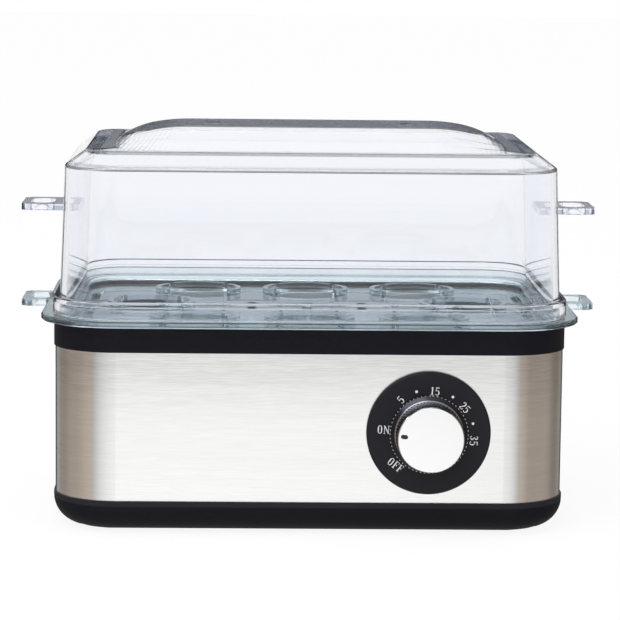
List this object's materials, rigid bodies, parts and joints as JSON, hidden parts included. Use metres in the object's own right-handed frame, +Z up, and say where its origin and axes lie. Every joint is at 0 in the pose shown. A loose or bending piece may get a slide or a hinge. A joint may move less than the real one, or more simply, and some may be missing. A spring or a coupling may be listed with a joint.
{
  "type": "egg cooker",
  "caption": "Countertop electric egg steamer: steel-sleeved base with a rotary timer, boiling pan, clear lift-out egg tray and clear vented lid with grip tabs.",
  "frame": {"origin": "centre of the whole footprint, on the surface that the feet stand on", "axes": "+Z up, -Y towards the user who faces the dial, +X to that user's right; +X runs along the length from grip tab to grip tab"},
  "size_m": [0.2252, 0.164, 0.151],
  "materials": {
    "black_moulding": "fine satin moulded texture",
    "dial_black": "satin, with a polished bevel",
    "dial_print": "printed marks on the dial",
    "brushed_steel": "brushed along its width",
    "pan_steel": "satin stainless",
    "silicone": "matte",
    "plated_steel": "bright zinc plate",
    "spreader_aluminium": "cast",
    "heater_sheath": "heat-tinted sheath",
    "ceramic": "glazed",
    "phenolic": "moulded",
    "timer_plastic": "natural moulded",
    "brass": "stamped",
    "rubber_black": "matte",
    "wire_brown": "insulation",
    "wire_white": "insulation",
    "wire_blue": "insulation",
    "wire_earth": "insulation",
    "knob_chrome": "polished, with knurled rims",
    "pointer_black": "inlaid",
    "tray_clear": "clear with an aqua tint",
    "lid_clear": "clear"
  },
  "bodies": {
    "base": {"base_shell": "black_moulding", "steel_sleeve": "brushed_steel", "top_collar": "black_moulding", "boil_pan": "pan_steel", "pan_seal": "silicone", "pan_straps": "plated_steel", "strap_nuts": "plated_steel", "heat_spreader": "spreader_aluminium", "heating_element": "heater_sheath", "element_clips": "plated_steel", "terminal_beads": "ceramic", "heat_shield": "plated_steel", "thermostat": "phenolic", "thermal_fuse": "plated_steel", "fuse_clip": "plated_steel", "timer_bracket": "plated_steel", "timer_case": "timer_plastic", "timer_bell": "plated_steel", "timer_terminals": "brass", "timer_screws": "plated_steel", "dial_plate": "dial_black", "terminal_block": "ceramic", "terminal_screws": "brass", "cord_gland": "rubber_black", "gland_nut": "phenolic", "foot_front_left": "rubber_black", "foot_front_right": "rubber_black", "foot_rear_left": "rubber_black", "foot_rear_right": "rubber_black", "base_screws": "plated_steel", "lead_live": "wire_brown", "lead_heater": "wire_brown", "lead_fuse": "wire_white", "lead_neutral": "wire_blue", "lead_earth": "wire_earth"},
    "knob": {"timer_shaft": "plated_steel", "knob": "knob_chrome", "knob_pointer": "pointer_black"},
    "tray": {"egg_tray": "tray_clear"},
    "lid": {"lid": "lid_clear"}
  },
  "joints": [
    {"name": "knob_turn", "type": "hinge", "parent": "base", "child": "knob", "pos_m": [0.0445, -0.06795, 0.0399], "axis": [0, 1, 0], "range_deg": [-52, 181.5]},
    {"name": "tray_lift", "type": "slide", "parent": "base", "child": "tray", "axis": [0, 0, 1], "range_m": [0, 0.08]},
    {"name": "lid_lift", "type": "slide", "parent": "tray", "child": "lid", "axis": [0, 0, 1], "range_m": [0, 0.12]}
  ]
}
